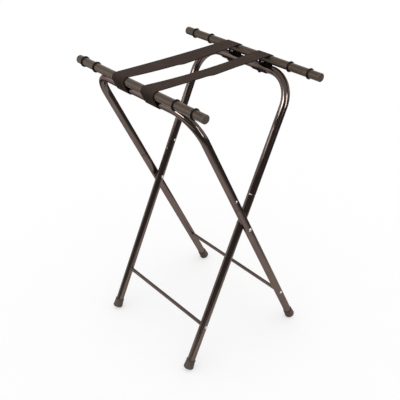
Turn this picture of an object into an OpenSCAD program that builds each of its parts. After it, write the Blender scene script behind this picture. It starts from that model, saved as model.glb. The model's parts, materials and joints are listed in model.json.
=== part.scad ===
// Folding tray stand: two bent tube frames crossed on a pivot, a bar on top of each frame,
// and two straps that stop the frames from spreading.
// x runs from the outer frame's bar to the inner frame's bar, y runs along the bars with the
// front at -y, and z is up. The origin is on the floor under the pivot. Sizes are millimetres.

/* [Stance] */
// Lean of each frame from upright with the straps taut, in degrees
lean = 25.5; // [22:0.1:28]
// Pivot to the axis of a top bar, along the frame
upper_len = 429; // [400:1:460]
// Pivot to the bottom of a leg tip, along the frame
lower_len = 445; // [420:0.5:470]
// Spacing of the outer frame's legs, axis to axis
outer_w = 408.5; // [395:0.5:450]
// Gap between an outer leg and the inner leg beside it
leg_gap = 4.7; // [4:0.1:8]

/* [Tubing] */
// Outside diameter of the legs and top bars
tube_d = 22.2; // [20:0.1:25.4]
// Wall of the legs and top bars
tube_wall = 1.2; // [0.9:0.1:1.6]
// Centreline radius of the bends below the top bars
bend_r = 76; // [60:1:80]

/* [Leg joints] */
// Pivot up to the seam between the bent top and the lower leg
seam_up = 88; // [60:1:110]
// Length of the reduced leg end inside the bent top
spigot_len = 52; // [44:1:70]
// Seam up to the rivet through the reduced end
joint_rivet_up = 30; // [20:1:36]
// Shank diameter of the joint rivets
joint_rivet_d = 4; // [3.2:0.1:4.8]
// Head diameter of the joint rivets
joint_rivet_head_d = 7; // [6:0.1:8.5]
// Head height of the joint rivets
joint_rivet_head_h = 1.5; // [1:0.1:2]

/* [Pivot] */
// Diameter of the pivot pins
pin_d = 6.3; // [5:0.1:8]
// Diameter of the pin heads on the outer legs
pin_head_d = 10.5; // [9:0.1:13]
// Height of the pin heads
pin_head_h = 2.4; // [1.5:0.1:3]
// Diameter of the upset pin ends inside the inner legs
pin_tail_d = 9; // [8.2:0.1:11]
// Height of the upset pin ends
pin_tail_h = 1.8; // [1:0.1:2.5]
// Outside diameter of the spacers between the legs
spacer_d = 14; // [11:0.5:18]

/* [Top bars] */
// Length of a top bar over its end plugs
bar_len = 516; // [460:1:560]
// Gap between a top bar and the crossrun below it
bar_gap = 1.9; // [1.5:0.1:6]
// Thickness of the end plug's face
plug_face = 2.4; // [1.6:0.1:4]
// Depth of the end plug inside the bar
plug_depth = 15; // [10:0.5:25]
// Edge rounding of the end plug's face
plug_round = 1.4; // [0.5:0.1:1.5]

/* [Bar screws] */
// Diameter of the screws that hold a bar to its crossrun
bar_screw_d = 4; // [3.5:0.1:4.6]
// Head diameter of the bar screws
bar_screw_head_d = 8; // [7:0.1:10]
// Head height of the bar screws
bar_screw_head_h = 2.6; // [2:0.1:4]
// Outside diameter of the washers under the screw heads
washer_d = 12; // [11:0.1:16]
// Thickness of the washers
washer_t = 1.2; // [0.8:0.1:2]
// Outside diameter of the spacers between bar and crossrun
bar_spacer_d = 6.6; // [6:0.1:9]
// Body diameter of the threaded inserts in the bars
insert_d = 5.8; // [5.4:0.1:6.4]
// Length of the threaded inserts
insert_len = 12; // [9:0.5:16]

/* [Grip rings] */
// Section of the rubber grip rings
ring_t = 4; // [2.5:0.1:5]
// Depth to which a ring is flattened against the bar
ring_flat = 0.7; // [0.3:0.1:1]
// End of a bar to its first ring
ring_end = 37; // [25:0.5:45]
// Start of the outer frame's bend to the second ring
ring_step = 25.75; // [20:0.25:45]
// Slip of the outer bar's rear end ring towards the end of the bar
ring_slip = 10; // [0:0.5:15]
// Slip of the outer bar's next rear ring towards the end ring
ring_step_slip = 11; // [0:0.5:20]

/* [Straps] */
// Width of a strap
strap_w = 51; // [45:0.5:70]
// Thickness of a strap
strap_t = 2; // [1.2:0.1:2.6]
// Middle of the bar to the middle of a strap
strap_y = 60; // [50:0.5:66]
// Sag of a strap half way between the bars
strap_sag = 5; // [2:0.5:12]
// Turn of the strap's tail past the underside of the crossrun, in degrees
tail_turn = 42; // [35:1:60]

/* [Stretchers] */
// Diameter of the stretcher rods
stretcher_d = 10.4; // [8:0.1:12]
// Pivot down to a stretcher, along the frame
stretcher_down = 309.5; // [280:0.5:340]
// Diameter of the stretcher screws
stretcher_screw_d = 4.8; // [4:0.1:5.5]
// Head diameter of the stretcher screws
stretcher_head_d = 8.4; // [7:0.1:10]
// Head height of the stretcher screws
stretcher_head_h = 2.6; // [1.8:0.1:3]
// Length of thread inside the stretcher
stretcher_thread = 14; // [10:0.5:20]

/* [Leg tips] */
// Length of a leg tip
tip_len = 27; // [22:0.5:36]
// Wall of a leg tip at its mouth
tip_wall = 1.5; // [1:0.1:2.5]
// Growth of the tip's radius from its mouth to its sole
tip_flare = 1.9; // [0.5:0.1:3]
// Thickness of rubber under the tube
tip_floor = 5; // [3:0.5:8]
// Edge rounding of the sole
tip_round = 4; // [3:0.1:5]
// Height of the bead round the tip's mouth
tip_bead_h = 3; // [2:0.1:5]
// Depth of the flat that stands on the floor
sole_flat = 1; // [0.6:0.1:1.5]

/* [Hidden] */
$fn = 64;

// Clearance of a seated or pressed piece
fit = 0.05;
// Radial running clearance of the pivot pins in the inner legs
run_fit = 0.1;
// Side play between pieces that turn against each other
run_gap = 0.3;
// Clearance of the straps from the tubes
strap_fit = 0.3;
// Overrun of a cut past the face that it opens
overrun = 1;

// Edge break of the lower leg at the seam
seam_edge = 0.5;
// Length over which the lower leg is drawn down below the seam
swage_len = 5;
// Lead-in at the top of the reduced end
spigot_lead = 0.6;
// Length of the formed bulb behind a joint rivet, and its growth over the shank
bulb_len = 3.2;
bulb_grow = 1.8;
// Dimple left in a blind rivet's head
dimple_d = 1.9;
dimple_h = 0.5;
// Cup wall of an end plug, and the number, height and width of its gripping fins
plug_wall = 1.6;
plug_fins = 3;
plug_fin_h = 0.4;
plug_fin_w = 1.5;
// Height of the collar that clamps a threaded insert behind the bar's wall, and its growth over the body
collar_h = 2.6;
collar_grow = 2.4;
// Extra radius of the bead round a tip's mouth
tip_bead = 0.5;
// Clearance of the hole punched through a strap for its screw
punch_fit = 0.5;
// Steps of each bend and of half the span in a strap's outline
bend_steps = 20;
span_steps = 6;

tube_r = tube_d / 2;
bore_r = tube_r - tube_wall;
spigot_r = bore_r - fit;
spigot_bore_r = spigot_r - tube_wall;
inner_w = outer_w - 2 * (tube_d + leg_gap);
crossrun_up = upper_len - tube_d - bar_gap;
bend_up = crossrun_up - bend_r;
leg_bottom = tip_floor - lower_len;
joint_rivet_level = seam_up + joint_rivet_up;
bulb_d = joint_rivet_d + bulb_grow;
collar_d = insert_d + collar_grow;
tip_mouth_r = tube_r + tip_wall;
tip_sole_r = tip_mouth_r + tip_flare;
pivot_z = (tip_sole_r - tip_round) * sin(lean) + (lower_len - tip_round) * cos(lean)
        + tip_round - sole_flat;

// Strap geometry in the upright plane across the bars, for the outer frame's half
bar_at = [-upper_len * sin(lean), pivot_z + upper_len * cos(lean)];
crossrun_at = [-crossrun_up * sin(lean), pivot_z + crossrun_up * cos(lean)];
strap_slope = 2 * atan(strap_sag / upper_len / sin(lean));
sag_radius = upper_len * sin(lean) / sin(strap_slope);
sag_at = [0, bar_at[1] + sag_radius * cos(strap_slope)];
strap_in_r = tube_r + strap_fit;
strap_out_r = strap_in_r + strap_t;
washer_level = crossrun_up - strap_out_r - fit;

// Which face of a leg a rivet head lies on
outward = 1;
inward = -1;
front = -1;
back = 1;

paint = "#5b4f4a";
bar_paint = "#65594d";
zinc = "#c9c9c6";
black_steel = "#211f1d";
rubber_black = "#171615";
tip_rubber = "#54483f";
webbing = "#463c38";
nylon = "#2a2726";

// Frames are drawn with the pivot at the origin, z up along the legs and x towards the other
// frame's bar, and then leaned over. The inner frame is the mirror image of the outer one.
module outer_side() {
    translate([0, 0, pivot_z]) rotate([0, -lean, 0]) children();
}

module inner_side() {
    mirror([1, 0, 0]) outer_side() children();
}

// Turn z to point along y, to the back or to the front
module along_y(end) {
    rotate([-90 * end, 0, 0]) children();
}

// Put z = 0 on one face of a leg with z pointing away from the leg
module on_leg(w, end, face, up) {
    translate([0, end * (w / 2 + face * tube_r), up]) along_y(end * face) children();
}

// A cap of a sphere with a flat underside at z = 0
module dome(d, h) {
    cap_r = (d * d / 4 + h * h) / h / 2;
    intersection() {
        translate([0, 0, h - cap_r]) sphere(cap_r);
        cylinder(d = d, h = h);
    }
}

// Solid along the bent tube's centreline, run past its two ends by extra
module bent_rod(w, r, extra) {
    for (end = [front, back]) {
        translate([0, end * w / 2, seam_up - extra]) cylinder(r = r, h = bend_up - seam_up + extra);
        translate([0, end * (w / 2 - bend_r), bend_up])
            rotate([90, 0, 90 * end])
                rotate_extrude(angle = 90) translate([bend_r, 0]) circle(r);
    }
    translate([0, bend_r - w / 2, crossrun_up]) along_y(back) cylinder(r = r, h = w - 2 * bend_r);
}

// Bent top of a frame: two leg ends, two bends and the crossrun under the bar
module bend(w, face) {
    difference() {
        bent_rod(w, tube_r, 0);
        bent_rod(w, bore_r, overrun);
        for (end = [front, back]) {
            on_leg(w, end, face, joint_rivet_level) translate([0, 0, -tube_r])
                cylinder(d = joint_rivet_d + 2 * fit, h = tube_r + overrun);
            translate([0, end * strap_y, crossrun_up - tube_r - overrun])
                cylinder(d = bar_screw_d + 2 * fit, h = tube_d + 2 * overrun);
        }
    }
}

// Lower leg with its top drawn down to slide inside the bent tube
module leg(w, end, face) {
    top = seam_up + spigot_len;
    difference() {
        translate([0, end * w / 2, 0]) rotate_extrude() polygon([
            [bore_r, leg_bottom],
            [tube_r, leg_bottom],
            [tube_r, seam_up - seam_edge],
            [tube_r - seam_edge, seam_up],
            [spigot_r, seam_up],
            [spigot_r, top - spigot_lead],
            [spigot_r - spigot_lead, top],
            [spigot_bore_r, top],
            [spigot_bore_r, seam_up - swage_len],
            [bore_r, seam_up - 2 * swage_len]
        ]);
        on_leg(w, end, face, joint_rivet_level) translate([0, 0, -tube_r])
            cylinder(d = joint_rivet_d + 2 * fit, h = tube_r + overrun);
        on_leg(w, end, outward, 0) translate([0, 0, -tube_d - overrun])
            cylinder(d = pin_d + 2 * (face == outward ? fit : run_fit), h = tube_d + 2 * overrun);
        on_leg(w, end, outward, -stretcher_down) translate([0, 0, -tube_d - overrun])
            cylinder(d = stretcher_screw_d + 2 * fit, h = tube_d + 2 * overrun);
    }
}

// Blind rivets that join the lower legs to the bent top
module joint_rivets(w, face) {
    grip = tube_r + fit - sqrt(pow(spigot_bore_r, 2) - pow(bulb_d / 2, 2));
    for (end = [front, back]) on_leg(w, end, face, joint_rivet_level) difference() {
        union() {
            dome(joint_rivet_head_d, joint_rivet_head_h);
            translate([0, 0, -grip]) cylinder(d = joint_rivet_d, h = grip);
            translate([0, 0, -grip - bulb_len]) cylinder(d = bulb_d, h = bulb_len);
        }
        translate([0, 0, joint_rivet_head_h - dimple_h]) cylinder(d = dimple_d, h = dimple_h + overrun);
    }
}

// Round rod between the two legs of a frame, tapped at both ends
module stretcher(w) {
    length = w - tube_d - 2 * fit;
    translate([0, 0, -stretcher_down]) difference() {
        translate([0, -length / 2, 0]) along_y(back) cylinder(d = stretcher_d, h = length);
        for (end = [front, back])
            translate([0, end * (length / 2 + overrun), 0]) along_y(-end)
                cylinder(d = stretcher_screw_d + 2 * fit, h = stretcher_thread + 2 * overrun);
    }
}

// Screws through the legs into the ends of the stretcher
module stretcher_screws(w) {
    reach = tube_d + fit + stretcher_thread;
    for (end = [front, back]) on_leg(w, end, outward, -stretcher_down) {
        dome(stretcher_head_d, stretcher_head_h);
        translate([0, 0, -reach]) cylinder(d = stretcher_screw_d, h = reach);
    }
}

// Rubber tip pushed over the end of a leg, drawn with its sole at z = 0
module leg_tip() {
    rotate_extrude() difference() {
        union() {
            square([tip_sole_r - tip_round, tip_round]);
            translate([tip_sole_r - tip_round, tip_round]) circle(tip_round);
            polygon([
                [0, tip_round],
                [tip_sole_r, tip_round],
                [tip_mouth_r, tip_len - tip_bead_h],
                [tip_mouth_r + tip_bead, tip_len - tip_bead_h],
                [tip_mouth_r + tip_bead, tip_len],
                [0, tip_len]
            ]);
        }
        translate([0, tip_floor]) square([tube_r + fit, tip_len]);
        translate([-tip_sole_r, -overrun]) square([tip_sole_r, tip_len + 2 * overrun]);
    }
}

// Everything below the floor, wide enough to trim a leg tip anywhere under the stand
module below_floor() {
    reach = lower_len + outer_w;
    translate([-reach, -reach, -tip_len]) cube([2 * reach, 2 * reach, tip_len]);
}

// Top bar, drilled below for the threaded inserts
module top_bar() {
    length = bar_len - 2 * plug_face;
    translate([0, 0, upper_len]) difference() {
        translate([0, -length / 2, 0]) along_y(back) cylinder(r = tube_r, h = length);
        translate([0, -length / 2 - overrun, 0]) along_y(back)
            cylinder(r = bore_r, h = length + 2 * overrun);
        for (end = [front, back]) translate([0, end * strap_y, -tube_r - overrun])
            cylinder(d = insert_d + 2 * fit, h = tube_r + overrun);
    }
}

// End plug: a rounded face and a finned cup inside the bar
module bar_plug(end) {
    cup_r = bore_r - fit - plug_fin_h;
    translate([0, end * (bar_len / 2 - plug_face), upper_len]) along_y(end) rotate_extrude() {
        square([tube_r, plug_face - plug_round]);
        square([tube_r - plug_round, plug_face]);
        intersection() {
            translate([tube_r - plug_round, plug_face - plug_round]) circle(plug_round);
            square([tube_r, plug_face]);
        }
        translate([cup_r - plug_wall, -plug_depth]) square([plug_wall, plug_depth]);
        for (fin = [1 : plug_fins]) translate([cup_r - plug_wall, -fin * plug_depth / (plug_fins + 1)])
            square([plug_wall + plug_fin_h, plug_fin_w]);
    }
}

// Sleeves in the gap between bar and crossrun, hollowed to sit on both tubes
module bar_spacers() {
    centres = upper_len - crossrun_up;
    for (end = [front, back]) translate([0, end * strap_y, crossrun_up]) difference() {
        cylinder(d = bar_spacer_d, h = centres);
        cylinder(d = bar_screw_d + 2 * fit, h = centres);
        for (level = [0, centres]) translate([0, -bar_spacer_d, level]) along_y(back)
            cylinder(r = tube_r + fit, h = 2 * bar_spacer_d);
    }
}

// Screws from under the crossrun into the inserts in the bar
module bar_screws() {
    under = washer_level - washer_t - fit;
    reach = upper_len - tube_r + insert_len - under;
    for (end = [front, back]) translate([0, end * strap_y, under]) {
        cylinder(d = bar_screw_d, h = reach);
        mirror([0, 0, 1]) dome(bar_screw_head_d, bar_screw_head_h);
    }
}

// Washers that press the strap tails against the crossrun
module screw_washers() {
    for (end = [front, back]) translate([0, end * strap_y, washer_level - washer_t]) difference() {
        cylinder(d = washer_d, h = washer_t);
        translate([0, 0, -overrun]) cylinder(d = bar_screw_d + 2 * fit, h = washer_t + 2 * overrun);
    }
}

// Threaded inserts clamped in the underside of the bar
module bar_inserts() {
    for (end = [front, back]) translate([0, end * strap_y, upper_len]) difference() {
        union() {
            intersection() {
                translate([0, 0, -tube_r]) cylinder(d = insert_d, h = insert_len);
                translate([0, -collar_d, 0]) along_y(back) cylinder(r = tube_r, h = 2 * collar_d);
            }
            intersection() {
                translate([0, 0, -bore_r]) cylinder(d = collar_d, h = collar_h);
                translate([0, -collar_d, 0]) along_y(back) cylinder(r = bore_r - fit, h = 2 * collar_d);
            }
        }
        translate([0, 0, -tube_r - overrun])
            cylinder(d = bar_screw_d + 2 * fit, h = insert_len + 2 * overrun);
    }
}

// Rubber ring stretched round the bar, flattened where it grips
module grip_ring(y) {
    translate([0, y, upper_len]) along_y(back) rotate_extrude() intersection() {
        translate([tube_r + ring_t / 2 - ring_flat, 0]) circle(d = ring_t);
        translate([tube_r + fit, -ring_t]) square([ring_t, 2 * ring_t]);
    }
}

// Pin through both legs at the pivot, headed outside and upset inside
module pivot_pin(end) {
    reach = 2 * tube_d + leg_gap + run_gap;
    translate([0, 0, pivot_z]) on_leg(outer_w, end, outward, 0) {
        dome(pin_head_d, pin_head_h);
        translate([0, 0, -reach]) cylinder(d = pin_d, h = reach);
        translate([0, 0, -reach]) mirror([0, 0, 1]) dome(pin_tail_d, pin_tail_h);
    }
}

// Washer that keeps the two legs apart at the pivot
module pivot_spacer(end) {
    thick = leg_gap - fit - run_gap;
    translate([0, 0, pivot_z]) on_leg(outer_w, end, inward, 0) translate([0, 0, fit]) difference() {
        cylinder(d = spacer_d, h = thick);
        translate([0, 0, -overrun]) cylinder(d = pin_d + 2 * fit, h = thick + 2 * overrun);
    }
}

// Point at an angle round a centre
function round_at(centre, r, angle) = centre + r * [cos(angle), sin(angle)];

// Evenly spaced points from one angle to another
function turn(centre, r, from, to, steps) =
    [for (i = [0 : steps]) round_at(centre, r, from + (to - from) * i / steps)];

// One face of a strap from its tail under the outer crossrun to the middle of the span
function half_strap(r) = concat(
    turn(crossrun_at, r, lean - 90 + tail_turn, lean - 180, bend_steps),
    turn(bar_at, r, lean + 180, 90 - strap_slope, bend_steps),
    [for (i = [1 : span_steps])
        round_at(sag_at, sag_radius - r, -90 - strap_slope * (1 - i / span_steps))]
);

function mirrored(points) = [for (i = [len(points) - 2 : -1 : 0]) [-points[i][0], points[i][1]]];
function whole_strap(r) = concat(half_strap(r), mirrored(half_strap(r)));
function reversed(points) = [for (i = [len(points) - 1 : -1 : 0]) points[i]];

// Strap over both bars and round both crossruns, punched for the bar screws
module strap(end) {
    difference() {
        translate([0, end * strap_y + strap_w / 2, 0]) rotate([90, 0, 0])
            linear_extrude(strap_w)
                polygon(concat(whole_strap(strap_out_r), reversed(whole_strap(strap_in_r))));
        for (side = [0, 1]) mirror([side, 0, 0]) outer_side()
            translate([0, end * strap_y, crossrun_up - strap_out_r - overrun])
                cylinder(d = bar_screw_d + 2 * punch_fit, h = strap_t + 2 * overrun);
    }
}

function ring_y(end) = end * (bar_len / 2 - ring_end);
function ring_step_y(end) = end * (outer_w / 2 - bend_r + ring_step);

module outer_bend() { color(paint) outer_side() bend(outer_w, outward); }
module outer_leg_front() { color(paint) outer_side() leg(outer_w, front, outward); }
module outer_leg_back() { color(paint) outer_side() leg(outer_w, back, outward); }
module outer_joint_rivets() { color(zinc) outer_side() joint_rivets(outer_w, outward); }
module outer_stretcher() { color(paint) outer_side() stretcher(outer_w); }
module outer_stretcher_screws() { color(zinc) outer_side() stretcher_screws(outer_w); }
module outer_foot(end) {
    color(tip_rubber) difference() {
        outer_side() translate([0, end * outer_w / 2, -lower_len]) leg_tip();
        below_floor();
    }
}
module outer_foot_front() { outer_foot(front); }
module outer_foot_back() { outer_foot(back); }
module outer_top_bar() { color(bar_paint) outer_side() top_bar(); }
module outer_bar_plug_front() { color(bar_paint) outer_side() bar_plug(front); }
module outer_bar_plug_back() { color(bar_paint) outer_side() bar_plug(back); }
module outer_bar_spacers() { color(zinc) outer_side() bar_spacers(); }
module outer_bar_screws() { color(black_steel) outer_side() bar_screws(); }
module outer_screw_washers() { color(black_steel) outer_side() screw_washers(); }
module outer_bar_inserts() { color(zinc) outer_side() bar_inserts(); }
module outer_grip_ring_1() { color(rubber_black) outer_side() grip_ring(ring_y(front)); }
module outer_grip_ring_2() { color(rubber_black) outer_side() grip_ring(ring_step_y(front)); }
module outer_grip_ring_3() {
    color(rubber_black) outer_side() grip_ring(ring_step_y(back) + ring_slip + ring_step_slip);
}
module outer_grip_ring_4() { color(rubber_black) outer_side() grip_ring(ring_y(back) + ring_slip); }

module inner_bend() { color(paint) inner_side() bend(inner_w, inward); }
module inner_leg_front() { color(paint) inner_side() leg(inner_w, front, inward); }
module inner_leg_back() { color(paint) inner_side() leg(inner_w, back, inward); }
module inner_joint_rivets() { color(zinc) inner_side() joint_rivets(inner_w, inward); }
module inner_stretcher() { color(paint) inner_side() stretcher(inner_w); }
module inner_stretcher_screws() { color(zinc) inner_side() stretcher_screws(inner_w); }
module inner_foot(end) {
    color(tip_rubber) difference() {
        inner_side() translate([0, end * inner_w / 2, -lower_len]) leg_tip();
        below_floor();
    }
}
module inner_foot_front() { inner_foot(front); }
module inner_foot_back() { inner_foot(back); }
module inner_top_bar() { color(bar_paint) inner_side() top_bar(); }
module inner_bar_plug_front() { color(bar_paint) inner_side() bar_plug(front); }
module inner_bar_plug_back() { color(bar_paint) inner_side() bar_plug(back); }
module inner_bar_spacers() { color(zinc) inner_side() bar_spacers(); }
module inner_bar_screws() { color(black_steel) inner_side() bar_screws(); }
module inner_screw_washers() { color(black_steel) inner_side() screw_washers(); }
module inner_bar_inserts() { color(zinc) inner_side() bar_inserts(); }
module inner_grip_ring_1() { color(rubber_black) inner_side() grip_ring(ring_y(front)); }
module inner_grip_ring_2() { color(rubber_black) inner_side() grip_ring(ring_step_y(front)); }
module inner_grip_ring_3() { color(rubber_black) inner_side() grip_ring(ring_step_y(back)); }
module inner_grip_ring_4() { color(rubber_black) inner_side() grip_ring(ring_y(back)); }

module pivot_pin_front() { color(zinc) pivot_pin(front); }
module pivot_pin_back() { color(zinc) pivot_pin(back); }
module pivot_spacer_front() { color(nylon) pivot_spacer(front); }
module pivot_spacer_back() { color(nylon) pivot_spacer(back); }
module strap_front() { color(webbing) strap(front); }
module strap_back() { color(webbing) strap(back); }

outer_bend();
outer_leg_front();
outer_leg_back();
outer_joint_rivets();
outer_stretcher();
outer_stretcher_screws();
outer_foot_front();
outer_foot_back();
outer_top_bar();
outer_bar_plug_front();
outer_bar_plug_back();
outer_bar_spacers();
outer_bar_screws();
outer_screw_washers();
outer_bar_inserts();
outer_grip_ring_1();
outer_grip_ring_2();
outer_grip_ring_3();
outer_grip_ring_4();
inner_bend();
inner_leg_front();
inner_leg_back();
inner_joint_rivets();
inner_stretcher();
inner_stretcher_screws();
inner_foot_front();
inner_foot_back();
inner_top_bar();
inner_bar_plug_front();
inner_bar_plug_back();
inner_bar_spacers();
inner_bar_screws();
inner_screw_washers();
inner_bar_inserts();
inner_grip_ring_1();
inner_grip_ring_2();
inner_grip_ring_3();
inner_grip_ring_4();
pivot_pin_front();
pivot_pin_back();
pivot_spacer_front();
pivot_spacer_back();
strap_front();
strap_back();
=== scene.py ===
import json
import math

import bpy
from mathutils import Matrix, Vector


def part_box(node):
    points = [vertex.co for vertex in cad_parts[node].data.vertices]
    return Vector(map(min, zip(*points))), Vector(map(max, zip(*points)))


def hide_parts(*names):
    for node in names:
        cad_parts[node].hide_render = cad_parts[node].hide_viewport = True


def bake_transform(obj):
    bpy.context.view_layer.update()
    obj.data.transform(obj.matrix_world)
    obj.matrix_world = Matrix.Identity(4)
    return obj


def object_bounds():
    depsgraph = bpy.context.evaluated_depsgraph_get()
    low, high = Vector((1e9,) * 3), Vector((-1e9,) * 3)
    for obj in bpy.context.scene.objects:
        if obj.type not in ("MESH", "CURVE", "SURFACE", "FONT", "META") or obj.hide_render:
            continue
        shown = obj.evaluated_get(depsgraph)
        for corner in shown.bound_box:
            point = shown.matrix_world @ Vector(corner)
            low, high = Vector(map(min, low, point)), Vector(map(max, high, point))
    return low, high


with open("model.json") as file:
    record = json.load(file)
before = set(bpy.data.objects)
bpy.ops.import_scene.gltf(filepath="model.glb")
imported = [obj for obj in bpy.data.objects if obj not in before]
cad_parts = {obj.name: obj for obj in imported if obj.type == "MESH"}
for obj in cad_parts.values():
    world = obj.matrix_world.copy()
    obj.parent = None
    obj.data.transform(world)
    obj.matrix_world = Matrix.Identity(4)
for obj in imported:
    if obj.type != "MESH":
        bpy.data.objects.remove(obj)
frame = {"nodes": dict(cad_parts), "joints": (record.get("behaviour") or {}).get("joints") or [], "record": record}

CAD_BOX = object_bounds()
CENTRE = (CAD_BOX[0] + CAD_BOX[1]) / 2
MM = 0.001
Y_AXIS = Vector((0, 1, 0))
Z_AXIS = Vector((0, 0, 1))

# Camera, in metres and degrees, with its lens in millimetres
CAMERA_AT = (-1.04556, -1.28101, 1.40211)
CAMERA_AZIMUTH = -39.414
CAMERA_ELEVATION = 31.229
CAMERA_ROLL = -0.924
CAMERA_LENS = 61.143
SENSOR_WIDTH = 36.0
CAMERA_TURN = math.radians(CAMERA_AZIMUTH)
# Level directions from the object to the camera's side, and to the left of the picture
CAMERA_SIDE = Vector((math.sin(CAMERA_TURN), -math.cos(CAMERA_TURN), 0))
CAMERA_LEFT = Vector((CAMERA_SIDE.y, -CAMERA_SIDE.x, 0))

# Softboxes: degrees from the camera's azimuth, elevation, width and height in metres, and watts
SOFTBOXES = {
    "left_key": (-57, 35, (1.2, 0.4), 18),
    "left_glow": (-64, 25, (0.9, 0.22), 1.8),
    "bar_glow": (-95, 20, (0.8, 0.3), 0.9),
    "right_key": (45, 24, (0.65, 1.35), 21),
}
SOFTBOX_DISTANCE = 2.1
SOFTBOX_COLOUR = (0.93, 1.0, 1.05)

# Straps: size and hang, as the solids have them
STRAP_THICKNESS = 2.0 * MM
STRAP_SAG = 5.0 * MM
TAIL_TURN = math.radians(42)
# Straps: forms that only the webbing has
EDGE_ROUND = 0.95 * MM
# The strap edges that face each other hang slack, and the outer ones are nearly taut
SLACK_SAG = 6.5 * MM
TAUT_SAG = 2.0 * MM
# Crease where the strap folds as the stand is closed: its place, how far it reaches towards the
# outer and the inner bar, how far the strap's front edge dips there, and the rounding of its fold
CREASE_AT = -13 * MM
CREASE_BREAK = 16 * MM
CREASE_REACH = 75 * MM
CREASE_DIP = 2.4 * MM
CREASE_ROUND = 0.004
# UV layer of the webbing, in metres along and across the strap
STRAP_UV = "strap"

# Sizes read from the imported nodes
PIVOT = Vector(frame["joints"][0]["pos_m"])
bar_low, bar_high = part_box("outer_top_bar")
BAR = (bar_low + bar_high) / 2
TUBE_RADIUS = (bar_high.z - bar_low.z) / 2
LEAN = math.atan2(abs(BAR.x), BAR.z - PIVOT.z)
bend_low, bend_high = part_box("outer_bend")
CROSSRUN_Z = bend_high.z - TUBE_RADIUS
CROSSRUN = Vector((-(CROSSRUN_Z - PIVOT.z) * math.tan(LEAN), 0, CROSSRUN_Z))
SEAM_Z = bend_low.z + TUBE_RADIUS * math.sin(LEAN)
strap_low, strap_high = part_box("strap_front")
STRAP_WIDTH = strap_high.y - strap_low.y
STRAP_OUTSIDE = strap_high.z - BAR.z
STRAP_MIDDLE = STRAP_OUTSIDE - STRAP_THICKNESS / 2

# Range that most of a noise falls in
NOISE_SPAN = (0.3, 0.7)


def linear(code):
    """Linear colour of six hexadecimal sRGB digits."""
    shares = [int(code[i:i + 2], 16) / 255 for i in (0, 2, 4)]
    return [s / 12.92 if s <= 0.04045 else ((s + 0.055) / 1.055) ** 2.4 for s in shares] + [1.0]


class Graph:
    """A node tree, with short calls for the nodes that it is put together from."""

    def __init__(self, tree):
        self.tree = tree

    def add(self, kind, inputs=None, **settings):
        """Adds a node, and links or fills the inputs that are given by name or number."""
        node = self.tree.nodes.new("ShaderNode" + kind)
        for key, value in settings.items():
            setattr(node, key, value)
        for key, value in (inputs or {}).items():
            if isinstance(value, bpy.types.NodeSocket):
                self.tree.links.new(value, node.inputs[key])
            else:
                node.inputs[key].default_value = value
        return node

    def math(self, operation, *values):
        return self.add("Math", dict(enumerate(values)), operation=operation).outputs[0]

    def remap(self, value, low, high, to_low, to_high):
        """Takes low..high to to_low..to_high with a smooth step."""
        inputs = dict(enumerate((value, low, high, to_low, to_high)))
        return self.add("MapRange", inputs, interpolation_type="SMOOTHSTEP").outputs[0]


class Finish(Graph):
    """A procedural material, put together from nodes round one Principled shader."""

    def __init__(self, name, **values):
        self.material = bpy.data.materials.new(name)
        self.material.use_nodes = True
        super().__init__(self.material.node_tree)
        self.shader = self.tree.nodes["Principled BSDF"]
        for socket, value in values.items():
            self.shader.inputs[socket.replace("_", " ")].default_value = value
        self.place = self.add("TexCoord").outputs["Object"]

    def noise(self, size, detail):
        """Noise from 0 to 1 whose spots are about size metres across."""
        inputs = {"Vector": self.place, "Scale": 1 / size, "Detail": detail}
        return self.add("TexNoise", inputs).outputs["Fac"]

    def spots(self, size, detail, span=NOISE_SPAN, to=(0, 1)):
        """Noise of that size, with its span taken to the values in to."""
        return self.remap(self.noise(size, detail), *span, *to)

    def cells(self, size):
        """Distance to the nearest of points strewn about size metres apart, in their own spacing."""
        return self.add("TexVoronoi", {"Vector": self.place, "Scale": 1 / size}).outputs["Distance"]

    def mix(self, share, first, second):
        """Colour between two hexadecimal colours or sockets."""
        colours = [linear(c) if isinstance(c, str) else c for c in (first, second)]
        inputs = {0: share, 6: colours[0], 7: colours[1]}
        return self.add("Mix", inputs, data_type="RGBA").outputs[2]

    def dress(self, socket, value):
        self.tree.links.new(value, self.shader.inputs[socket])

    def bump(self, height, depth):
        """Bump of the given depth in metres from a height of 0 to 1."""
        inputs = {"Height": height, "Distance": depth, "Strength": 1.0}
        self.dress("Normal", self.add("Bump", inputs).outputs["Normal"])

    def mottle(self, tone, shades, roughness, grain, depth):
        """Lets colour and roughness follow one tone from 0 to 1, over a fine grain of bumps."""
        self.dress("Base Color", self.mix(tone, *shades))
        self.dress("Roughness", self.remap(tone, 0, 1, *roughness))
        self.bump(self.noise(size=grain, detail=2), depth)


def frame_paint(grime_share=0.8, bare_roughness=0.4):
    """Gloss bronze-brown metallic coat, grimy on its seams and chipped on the inner frame's."""
    finish = Finish("frame_paint", Metallic=0.97, Specular_Tint=(0.55, 0.5, 0.48, 1))
    tone = finish.spots(size=55 * MM, detail=3, span=(0.35, 0.7))
    fleck = finish.spots(size=0.7 * MM, detail=2, span=(0.62, 0.78), to=(0, 0.25))
    paint = finish.mix(tone, "685a55", "6f615a")
    paint = finish.mix(fleck, paint, "83736a")
    rim, inner = seam_shares(finish)
    patchy = finish.spots(size=5 * MM, detail=1, span=(0.42, 0.56))
    bare = finish.math("MULTIPLY", finish.math("MULTIPLY", rim, inner), patchy)
    grime = finish.math("MULTIPLY", finish.math("SUBTRACT", rim, bare), grime_share)
    paint = finish.mix(grime, paint, "1c1715")
    finish.dress("Base Color", finish.mix(bare, paint, "f2efe8"))
    smooth = finish.spots(size=18 * MM, detail=4, span=(0.3, 0.75), to=(0.1, 0.16))
    finish.dress("Roughness", finish.math("MULTIPLY_ADD", bare, bare_roughness, smooth))
    finish.bump(finish.noise(size=14 * MM, detail=1), depth=0.004 * MM)
    return finish.material


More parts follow.
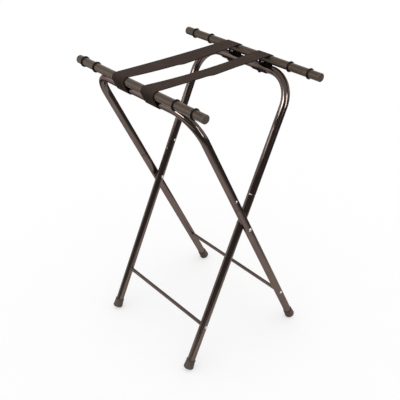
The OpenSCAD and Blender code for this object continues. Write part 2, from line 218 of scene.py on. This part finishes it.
def seam_shares(finish, width=1.3 * MM):
    """Shares of the rims where the bent tubes end on the legs, and of the inner bar's side."""
    parts = finish.add("SeparateXYZ", {0: finish.place}).outputs
    across = finish.math("MULTIPLY", finish.math("ABSOLUTE", parts[0]), math.sin(LEAN))
    along = finish.math("MULTIPLY_ADD", parts[2], math.cos(LEAN), across)
    seam = PIVOT.z * math.cos(LEAN) + (SEAM_Z - PIVOT.z) / math.cos(LEAN)
    off = finish.math("ABSOLUTE", finish.math("SUBTRACT", along, seam))
    rim = finish.remap(off, width / 2, width, 1, 0)
    return rim, finish.remap(parts[0], 0, TUBE_RADIUS, 0, 1)


def bar_paint():
    """Satin brown coat on the top bars, rubbed paler in fine scuffs."""
    finish = Finish("bar_paint", Metallic=0.25, Specular_IOR_Level=0.8,
                    Specular_Tint=(1, 0.82, 0.68, 1))
    brown = finish.mix(finish.spots(size=30 * MM, detail=4), "45372e", "4d3e33")
    scuff = finish.spots(size=5 * MM, detail=5, span=(0.58, 0.75), to=(0, 0.3))
    finish.dress("Base Color", finish.mix(scuff, brown, "645347"))
    finish.dress("Roughness", finish.spots(size=9 * MM, detail=3, to=(0.28, 0.4)))
    finish.bump(finish.noise(size=1.1 * MM, detail=2), depth=0.03 * MM)
    return finish.material


def zinc_steel():
    """Bright zinc plate with a fine spangle."""
    finish = Finish("zinc_steel", Metallic=0.45)
    spangle = finish.cells(size=1.2 * MM)
    finish.dress("Base Color", finish.mix(spangle, "f6f5f1", "dddcd7"))
    finish.dress("Roughness", finish.spots(size=0.9 * MM, detail=2, to=(0.34, 0.48)))
    finish.bump(spangle, depth=0.01 * MM)
    return finish.material


def black_steel():
    """Black oxide with a faint oily sheen."""
    finish = Finish("black_steel", Metallic=0.6)
    tone = finish.spots(size=3 * MM, detail=3)
    finish.mottle(tone, shades=("171513", "221f1d"), roughness=(0.4, 0.55),
                  grain=0.8 * MM, depth=0.015 * MM)
    return finish.material


def ring_rubber():
    """Black rubber with a soft bloom."""
    finish = Finish("ring_rubber", Specular_IOR_Level=0.2)
    bloom = finish.spots(size=6 * MM, detail=3, span=(0.45, 0.75))
    finish.mottle(bloom, shades=("0f0e0d", "191716"), roughness=(0.45, 0.6),
                  grain=0.5 * MM, depth=0.02 * MM)
    return finish.material


def tip_rubber(dusty_height=16 * MM, dust_shares=(0.75, 0.1), roughness=(0.55, 0.75)):
    """Brown moulded rubber, dusty and scuffed towards the sole."""
    finish = Finish("tip_rubber", Specular_IOR_Level=0.3)
    height = finish.add("SeparateXYZ", {0: finish.place}).outputs[2]
    patches = finish.noise(size=7 * MM, detail=4)
    low_down = finish.remap(height, 0, dusty_height, *dust_shares)
    dust = finish.math("MULTIPLY", low_down, patches)
    rubber = finish.mix(finish.spots(size=12 * MM, detail=3), "5e5149", "685a52")
    finish.dress("Base Color", finish.mix(dust, rubber, "7b6c62"))
    finish.dress("Roughness", finish.remap(patches, *NOISE_SPAN, *roughness))
    finish.bump(finish.noise(size=0.9 * MM, detail=3), depth=0.05 * MM)
    return finish.material


def plug_plastic():
    """Matt brown moulding with a fine spark-eroded grain."""
    finish = Finish("plug_plastic", Specular_IOR_Level=0.35)
    tone = finish.spots(size=8 * MM, detail=3)
    finish.mottle(tone, shades=("64564e", "6c5e55"), roughness=(0.45, 0.58),
                  grain=0.45 * MM, depth=0.035 * MM)
    return finish.material


def spacer_nylon():
    """Black nylon, slightly uneven in tone and gloss."""
    finish = Finish("spacer_nylon", Specular_IOR_Level=0.4)
    tone = finish.spots(size=4 * MM, detail=3)
    finish.mottle(tone, shades=("1d1b19", "292623"), roughness=(0.38, 0.5),
                  grain=0.6 * MM, depth=0.02 * MM)
    return finish.material


def strap_webbing(warp_pitch=2.2 * MM, weft_pitch=1.8 * MM, gap_shade_share=0.5,
                  edge_dark_in=(2.6 * MM, 1.2 * MM), edge_dark_share=0.8, roughness=(0.78, 0.92)):
    """Close plain weave, paler where it is worn, with painted shade in its hollows and darker along both long
    edges.
    """
    finish = Finish("strap_webbing", Specular_IOR_Level=0.05)
    uv = finish.add("UVMap", uv_map=STRAP_UV).outputs[0]
    along, across, _ = finish.add("SeparateXYZ", {0: uv}).outputs
    warp = finish.math("SINE", finish.math("MULTIPLY", across, math.tau / warp_pitch))
    weft = finish.math("SINE", finish.math("MULTIPLY", along, math.tau / weft_pitch))
    weave = finish.remap(finish.math("MULTIPLY", warp, weft), -1, 1, 0, 1)
    yarn = finish.spots(size=1.3 * MM, detail=3)
    # Painted shade: the hollows of the weave, where its bump is low, are darkened as if shaded
    painted_gap_shade = finish.remap(weave, 0, 0.5, gap_shade_share, 0)
    worn = finish.spots(size=34 * MM, detail=4, span=(0.5, 0.75), to=(0, 0.3))
    # Darker along both long edges of the strap, inside the given insets
    edge = [STRAP_WIDTH / 2 - inset for inset in edge_dark_in]
    edge_dark = finish.remap(finish.math("ABSOLUTE", across), *edge, 0, edge_dark_share)
    cloth = finish.mix(yarn, "433731", "4d4039")
    cloth = finish.mix(painted_gap_shade, cloth, "2c2421")
    cloth = finish.mix(worn, cloth, "5c4d46")
    finish.dress("Base Color", finish.mix(edge_dark, cloth, "211b18"))
    finish.dress("Roughness", finish.remap(yarn, 0, 1, *roughness))
    finish.bump(weave, depth=0.22 * MM)
    return finish.material


def arc(centre, start, stop, steps):
    """Points and outward directions in the XZ plane on the strap's middle line round a tube."""
    row = []
    for i in range(steps + 1):
        angle = start + (stop - start) * i / steps
        out = Vector((math.cos(angle), 0, math.sin(angle)))
        row.append((centre + STRAP_MIDDLE * out, out))
    return row


def strap_line(wrap_steps=24, drop_steps=4, span_steps=44):
    """Middle line of a strap, from the outer frame's tail to the inner one's.

    Each point has its outward direction, or none on the free span between the bars.
    """
    slope = 2 * math.atan(STRAP_SAG / abs(BAR.x))
    right = math.pi / 2
    wrap = arc(CROSSRUN, LEAN - right + TAIL_TURN, LEAN - math.pi, wrap_steps)
    over = arc(Vector((BAR.x, 0, BAR.z)), LEAN + math.pi, right - slope, wrap_steps)
    leave, meet = wrap[-1][0], over[0][0]
    drop = [(leave.lerp(meet, i / drop_steps), over[0][1]) for i in range(1, drop_steps)]
    start = over[-1][0]
    span = []
    for i in range(1, span_steps + 1):
        share = 1 - i / span_steps
        dip = Vector((0, 0, -STRAP_SAG * (1 - share ** 2)))
        span.append((Vector((start.x * share, 0, start.z)) + dip, None))
    half = wrap + drop + over + span
    other = [(Vector((-p.x, 0, p.z)), n and Vector((-n.x, 0, n.z))) for p, n in half[-2::-1]]
    return half + other


def strap_section(across_steps=18, round_steps=5):
    """Closed outline of the webbing: place across and height of each corner, upper side first."""
    flat = STRAP_WIDTH / 2 - EDGE_ROUND
    upper = [-flat + 2 * flat * i / across_steps for i in range(across_steps + 1)]
    thick = STRAP_THICKNESS / 2
    rows = [(v, thick) for v in upper]
    for i in range(1, round_steps):
        angle = math.pi / 2 - math.pi * i / round_steps
        rows.append((flat + EDGE_ROUND * math.cos(angle), thick * math.sin(angle)))
    rows += [(v, -thick) for v in reversed(upper)]
    for i in range(1, round_steps):
        angle = -math.pi / 2 - math.pi * i / round_steps
        rows.append((-flat + EDGE_ROUND * math.cos(angle), thick * math.sin(angle)))
    return rows


def crease(x, across):
    """Dip of the span towards its front edge at the crease: steep on one side, slow on the other."""
    off = (x - CREASE_AT) / (CREASE_REACH if x > CREASE_AT else CREASE_BREAK)
    ridge = max(0, 1 - math.sqrt(off ** 2 + CREASE_ROUND))
    return CREASE_DIP * ridge * (0.5 - across / STRAP_WIDTH)


def tilt(x, inward):
    """Dip of the span below the middle line, at a distance across towards the slack edge."""
    sag = TAUT_SAG + (SLACK_SAG - TAUT_SAG) * (0.5 + inward / STRAP_WIDTH)
    return (sag - STRAP_SAG) * (1 - (x / BAR.x) ** 2)


def strap_corners(line, section, middle):
    """Corners of the webbing, section after section along the line."""
    corners = []
    for i, (point, out) in enumerate(line):
        along = (line[min(i + 1, len(line) - 1)][0] - line[max(i - 1, 0)][0]).normalized()
        up = out or -along.cross(Y_AXIS).normalized()
        for across, height in section:
            inward = across if middle < 0 else -across
            dip = 0 if out else crease(point.x, across) + tilt(point.x, inward)
            corners.append(point + Vector((0, middle + across, -dip)) + up * height)
    return corners


def strap_faces(sections, size):
    """Faces between sections of the given number of corners, with both ends closed."""
    faces = []
    for i in range(sections - 1):
        for j in range(size):
            k = (j + 1) % size
            faces.append((i * size + j, i * size + k, (i + 1) * size + k, (i + 1) * size + j))
    last = (sections - 1) * size
    faces.append(tuple(range(size - 1, -1, -1)))
    faces.append(tuple(range(last, last + size)))
    return faces


def strap(node, name):
    """Webbing swept along the strap's line, in place of its plain solid."""
    low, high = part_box(node)
    line = strap_line()
    section = strap_section()
    size = len(section)
    run = [0.0]
    for (a, _), (b, _) in zip(line, line[1:]):
        run.append(run[-1] + (b - a).length)
    mesh = bpy.data.meshes.new(name)
    corners = strap_corners(line, section, (low.y + high.y) / 2)
    mesh.from_pydata(corners, [], strap_faces(len(line), size))
    layer = mesh.uv_layers.new(name=STRAP_UV)
    for loop in mesh.loops:
        step, corner = divmod(loop.vertex_index, size)
        layer.data[loop.index].uv = (run[step], section[corner][0])
    mesh.shade_smooth()
    piece = bpy.data.objects.new(name, mesh)
    bpy.context.collection.objects.link(piece)
    mesh.materials.append(finishes["strap_webbing"])
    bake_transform(piece)
    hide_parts(node)


def dress_nodes():
    """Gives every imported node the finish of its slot."""
    for part in frame["record"]["subparts"]:
        mesh = frame["nodes"][part["node"]].data
        mesh.materials.clear()
        mesh.materials.append(finishes[part["material_slot"]])


def aim(azimuth, elevation):
    """Turn of a camera or lamp that looks back from the given direction, in degrees."""
    turn = Matrix.Rotation(math.radians(azimuth), 4, "Z")
    return turn @ Matrix.Rotation(math.radians(90 - elevation), 4, "X")


def add_camera():
    data = bpy.data.cameras.new("camera")
    data.lens = CAMERA_LENS
    data.sensor_width = SENSOR_WIDTH
    camera = bpy.data.objects.new("camera", data)
    roll = Matrix.Rotation(math.radians(CAMERA_ROLL), 4, "Z")
    facing = aim(CAMERA_AZIMUTH, CAMERA_ELEVATION) @ roll
    camera.matrix_world = Matrix.Translation(CAMERA_AT) @ facing
    bpy.context.collection.objects.link(camera)
    bpy.context.scene.camera = camera


class Rays(Graph):
    """Node tree of the world or the floor, with shares that are 1 for some kinds of ray, else 0."""

    def __init__(self, tree):
        super().__init__(tree)
        path = self.add("LightPath").outputs
        self.mirrored = self.math("MAXIMUM", path["Is Glossy Ray"], path["Is Transmission Ray"])
        self.seen = self.math("MAXIMUM", path["Is Camera Ray"], self.mirrored)

    def vector(self, operation, place, other):
        """Number that a vector operation gives for a place or direction and a fixed other one."""
        node = self.add("VectorMath", {0: place, 1: other}, operation=operation)
        return node.outputs["Value"]

    def mix(self, share, first, second):
        """Number between two numbers."""
        return self.add("Mix", {0: share, 2: first, 3: second}).outputs[0]

    def diffuse(self, pale):
        return self.add("BsdfDiffuse", {"Color": (pale, pale, pale, 1)}).outputs[0]

    def emission(self, strength):
        return self.add("Emission", {"Strength": strength}).outputs[0]

    def join(self, kind, *values):
        """Shader made from others by an Add Shader or a Mix Shader."""
        return self.add(kind, dict(enumerate(values))).outputs[0]


def add_world(shade=0.25, sky=1.15, light_span=(-0.2, 1), white=1.0, room=0.11,
              wall_span=(-0.35, 0.45), ceiling=0.55, ceiling_span=(0.3, 0.65)):
    """White backdrop that lights from above; mirrored, it is white behind and a dim room in front.

    The spans are cosines of the way up or, for the walls, of the way to the camera's side.
    """
    world = bpy.data.worlds.new("studio")
    world.use_nodes = True
    bpy.context.scene.world = world
    rays = Rays(world.node_tree)
    way = rays.add("TexCoord").outputs["Generated"]
    up = rays.vector("DOT_PRODUCT", way, Z_AXIS)
    forward = rays.vector("DOT_PRODUCT", way, CAMERA_SIDE)
    walls = rays.remap(forward, *wall_span, white, room)
    mirrored = rays.mix(rays.remap(up, *ceiling_span, 0, 1), walls, ceiling)
    seen = rays.mix(rays.mirrored, white, mirrored)
    light = rays.remap(up, *light_span, shade, sky)
    background = rays.tree.nodes["Background"]
    rays.tree.links.new(rays.mix(rays.seen, light, seen), background.inputs["Strength"])
    background.inputs["Color"].default_value = (1, 1, 1, 1)


def add_floor(radius=14.0, sides=96, glow=0.53, pale=0.2, seen_pale=0.5, dim=0.12,
              pool_at=(0, 0.1, 0), pool_span=(0.5, 1.2), left_span=(1.1, 1.6)):
    """White floor that keeps a soft shadow.

    Mirrored, it fades from a pool round the object into the dim room, except on the left.
    """
    mesh = bpy.data.meshes.new("floor")
    turns = [math.tau * i / sides for i in range(sides)]
    rim = [(radius * math.cos(a), radius * math.sin(a), 0) for a in turns]
    mesh.from_pydata(rim, [], [tuple(range(sides))])
    floor = bpy.data.objects.new("floor", mesh)
    bpy.context.collection.objects.link(floor)
    material = bpy.data.materials.new("floor")
    material.use_nodes = True
    nodes = material.node_tree.nodes
    nodes.remove(nodes["Principled BSDF"])
    rays = Rays(material.node_tree)
    place = rays.add("TexCoord").outputs["Object"]
    leftward = rays.vector("DOT_PRODUCT", place, CAMERA_LEFT)
    faded = rays.remap(rays.vector("DISTANCE", place, pool_at), *pool_span, 0, 1)
    faded = rays.math("MULTIPLY", faded, rays.remap(leftward, *left_span, 1, 0))
    faded = rays.math("MULTIPLY", faded, rays.mirrored)
    lit = rays.join("AddShader", rays.diffuse(seen_pale), rays.emission(glow))
    seen = rays.join("MixShader", faded, lit, rays.emission(dim))
    whole = rays.join("MixShader", rays.seen, rays.diffuse(pale), seen)
    rays.tree.links.new(whole, nodes["Material Output"].inputs["Surface"])
    mesh.materials.append(material)


def add_softbox(name, from_camera, elevation, size, power):
    """Softbox that the finishes only mirror, facing the middle of the object."""
    data = bpy.data.lights.new(name, "AREA")
    data.shape = "RECTANGLE"
    data.size, data.size_y = size
    data.energy = power
    data.color = SOFTBOX_COLOUR
    light = bpy.data.objects.new(name, data)
    facing = aim(CAMERA_AZIMUTH + from_camera, elevation)
    away = Matrix.Translation((0, 0, SOFTBOX_DISTANCE))
    light.matrix_world = Matrix.Translation(CENTRE) @ facing @ away
    light.visible_camera = light.visible_diffuse = False
    bpy.context.collection.objects.link(light)


FINISHES = (frame_paint, bar_paint, zinc_steel, black_steel, ring_rubber, tip_rubber,
            plug_plastic, spacer_nylon, strap_webbing)
finishes = {make.__name__: make() for make in FINISHES}

add_camera()
dress_nodes()
for end in ("front", "back"):
    strap("strap_" + end, "webbing_" + end)

add_world()
add_floor()
for name, setting in SOFTBOXES.items():
    add_softbox(name, *setting)

bpy.context.scene.view_settings.view_transform = "Standard"
